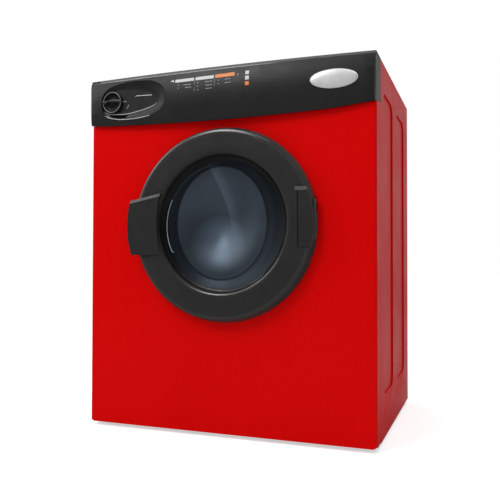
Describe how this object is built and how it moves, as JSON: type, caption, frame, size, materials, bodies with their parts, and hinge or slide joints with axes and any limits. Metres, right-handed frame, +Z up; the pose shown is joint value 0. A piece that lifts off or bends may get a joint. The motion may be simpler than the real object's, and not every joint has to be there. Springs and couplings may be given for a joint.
{
  "type": "tumble dryer",
  "caption": "Compact front-loading vented tumble dryer with a round door, a timer dial on a bowed fascia, a belt-driven drum and a fan.",
  "frame": {"origin": "centre of the overall box, on the floor", "axes": "+Z up, -Y towards the user in front of the door, +X to the user's right"},
  "size_m": [0.595, 0.543, 0.718],
  "materials": {
    "red_paint": "gloss enamel on steel sheet",
    "galvanised": "galvanised steel sheet",
    "black_plastic": "satin black moulding",
    "dark_plastic": "fine-grained black moulding",
    "silver_plate": "satin silver plate",
    "smoked_lens": "smoked lens",
    "white_plastic": "natural nylon",
    "felt": "pressed wool felt",
    "drum_steel": "zinc-coated drum sheet",
    "bearing": "sintered iron",
    "element": "heat-darkened sheath",
    "bakelite": "brown moulded body",
    "motor": "cast end shields and stacked core",
    "steel": "plated steel",
    "black_steel": "black-coated hinge",
    "duct_plastic": "dark polypropylene",
    "rubber": "black rubber",
    "glass": "tinted door glass",
    "filter": "blue-grey frame with fine mesh"
  },
  "bodies": {
    "cabinet": {"side_panel_left": "red_paint", "side_panel_right": "red_paint", "front_panel": "red_paint", "top_panel": "red_paint", "rear_panel": "galvanised", "base_pan": "galvanised", "fascia": "black_plastic", "dial_panel": "dark_plastic", "pilot_lens": "smoked_lens", "badge_plate": "silver_plate", "timer_body": "white_plastic", "front_bulkhead": "galvanised", "mouth_throat": "galvanised", "bulkhead_collar": "galvanised", "rear_bulkhead": "galvanised", "felt_seals": "felt", "drum_bearing": "bearing", "heater_housing": "galvanised", "heater_element": "element", "thermostats": "bakelite", "motor_body": "motor", "motor_bracket": "galvanised", "fan_housing": "duct_plastic", "lint_duct": "duct_plastic", "exhaust_duct": "duct_plastic", "exhaust_collar": "dark_plastic", "door_catch": "white_plastic", "hinge_bracket": "black_steel", "hinge_pin": "steel", "cable_gland": "dark_plastic", "terminal_block": "white_plastic", "capacitor": "white_plastic", "panel_screws": "steel", "drive_belt": "rubber", "tension_spring": "steel"},
    "door": {"door_frame": "black_plastic", "door_handle": "black_plastic", "door_back_ring": "dark_plastic", "door_glass": "glass", "door_seal": "rubber", "door_strike": "white_plastic", "hinge_block": "black_plastic", "door_screws": "steel"},
    "drum": {"drum_shell": "drum_steel", "drum_front": "drum_steel", "drum_back": "drum_steel", "drum_lifters": "dark_plastic", "drum_shaft": "steel"},
    "rotor": {"motor_shaft": "steel", "motor_pulley": "steel", "fan_impeller": "duct_plastic"},
    "tensioner": {"jockey_arm": "steel"},
    "jockey": {"jockey_pulley": "white_plastic"},
    "timer": {"timer_knob": "dark_plastic", "timer_spindle": "steel"},
    "filter": {"lint_filter": "filter"},
    "foot_front_left_body": {"foot_front_left": "rubber"},
    "foot_front_right_body": {"foot_front_right": "rubber"},
    "foot_rear_left_body": {"foot_rear_left": "rubber"},
    "foot_rear_right_body": {"foot_rear_right": "rubber"}
  },
  "joints": [
    {"name": "door_hinge", "type": "hinge", "parent": "cabinet", "child": "door", "pos_m": [0.188, -0.2475, 0.4185], "axis": [0, 0, 1], "range_deg": [0, 160]},
    {"name": "drum_spin", "type": "hinge", "parent": "cabinet", "child": "drum", "pos_m": [0, 0.1965, 0.4115], "axis": [0, 1, 0], "continuous": true},
    {"name": "rotor_spin", "type": "hinge", "parent": "cabinet", "child": "rotor", "pos_m": [0.1957, -0.0335, 0.102], "axis": [0, 1, 0], "continuous": true},
    {"name": "tensioner_pivot", "type": "hinge", "parent": "cabinet", "child": "tensioner", "pos_m": [0.1597, 0.0315, 0.05], "axis": [0, -1, 0], "range_deg": [0, 20], "stiffness_Nm_per_rad": 1.5, "springref_deg": -34.38},
    {"name": "jockey_spin", "type": "hinge", "parent": "tensioner", "child": "jockey", "pos_m": [0.1257, 0.0465, 0.097], "axis": [0, 1, 0], "continuous": true},
    {"name": "timer_turn", "type": "hinge", "parent": "cabinet", "child": "timer", "pos_m": [-0.242, -0.2335, 0.668], "axis": [0, 1, 0], "range_deg": [0, 300]},
    {"name": "filter_slide", "type": "slide", "parent": "cabinet", "child": "filter", "axis": [0, 0, 1], "range_m": [0, 0.12]},
    {"name": "foot_front_left_screw", "type": "slide", "parent": "cabinet", "child": "foot_front_left_body", "axis": [0, 0, -1], "range_m": [0, 0.012]},
    {"name": "foot_front_right_screw", "type": "slide", "parent": "cabinet", "child": "foot_front_right_body", "axis": [0, 0, -1], "range_m": [0, 0.012]},
    {"name": "foot_rear_left_screw", "type": "slide", "parent": "cabinet", "child": "foot_rear_left_body", "axis": [0, 0, -1], "range_m": [0, 0.012]},
    {"name": "foot_rear_right_screw", "type": "slide", "parent": "cabinet", "child": "foot_rear_right_body", "axis": [0, 0, -1], "range_m": [0, 0.012]}
  ],
  "couplings": [
    {"joint": "rotor_spin", "follows": "drum_spin", "ratio": 25.095},
    {"joint": "jockey_spin", "follows": "drum_spin", "ratio": -12.256}
  ]
}
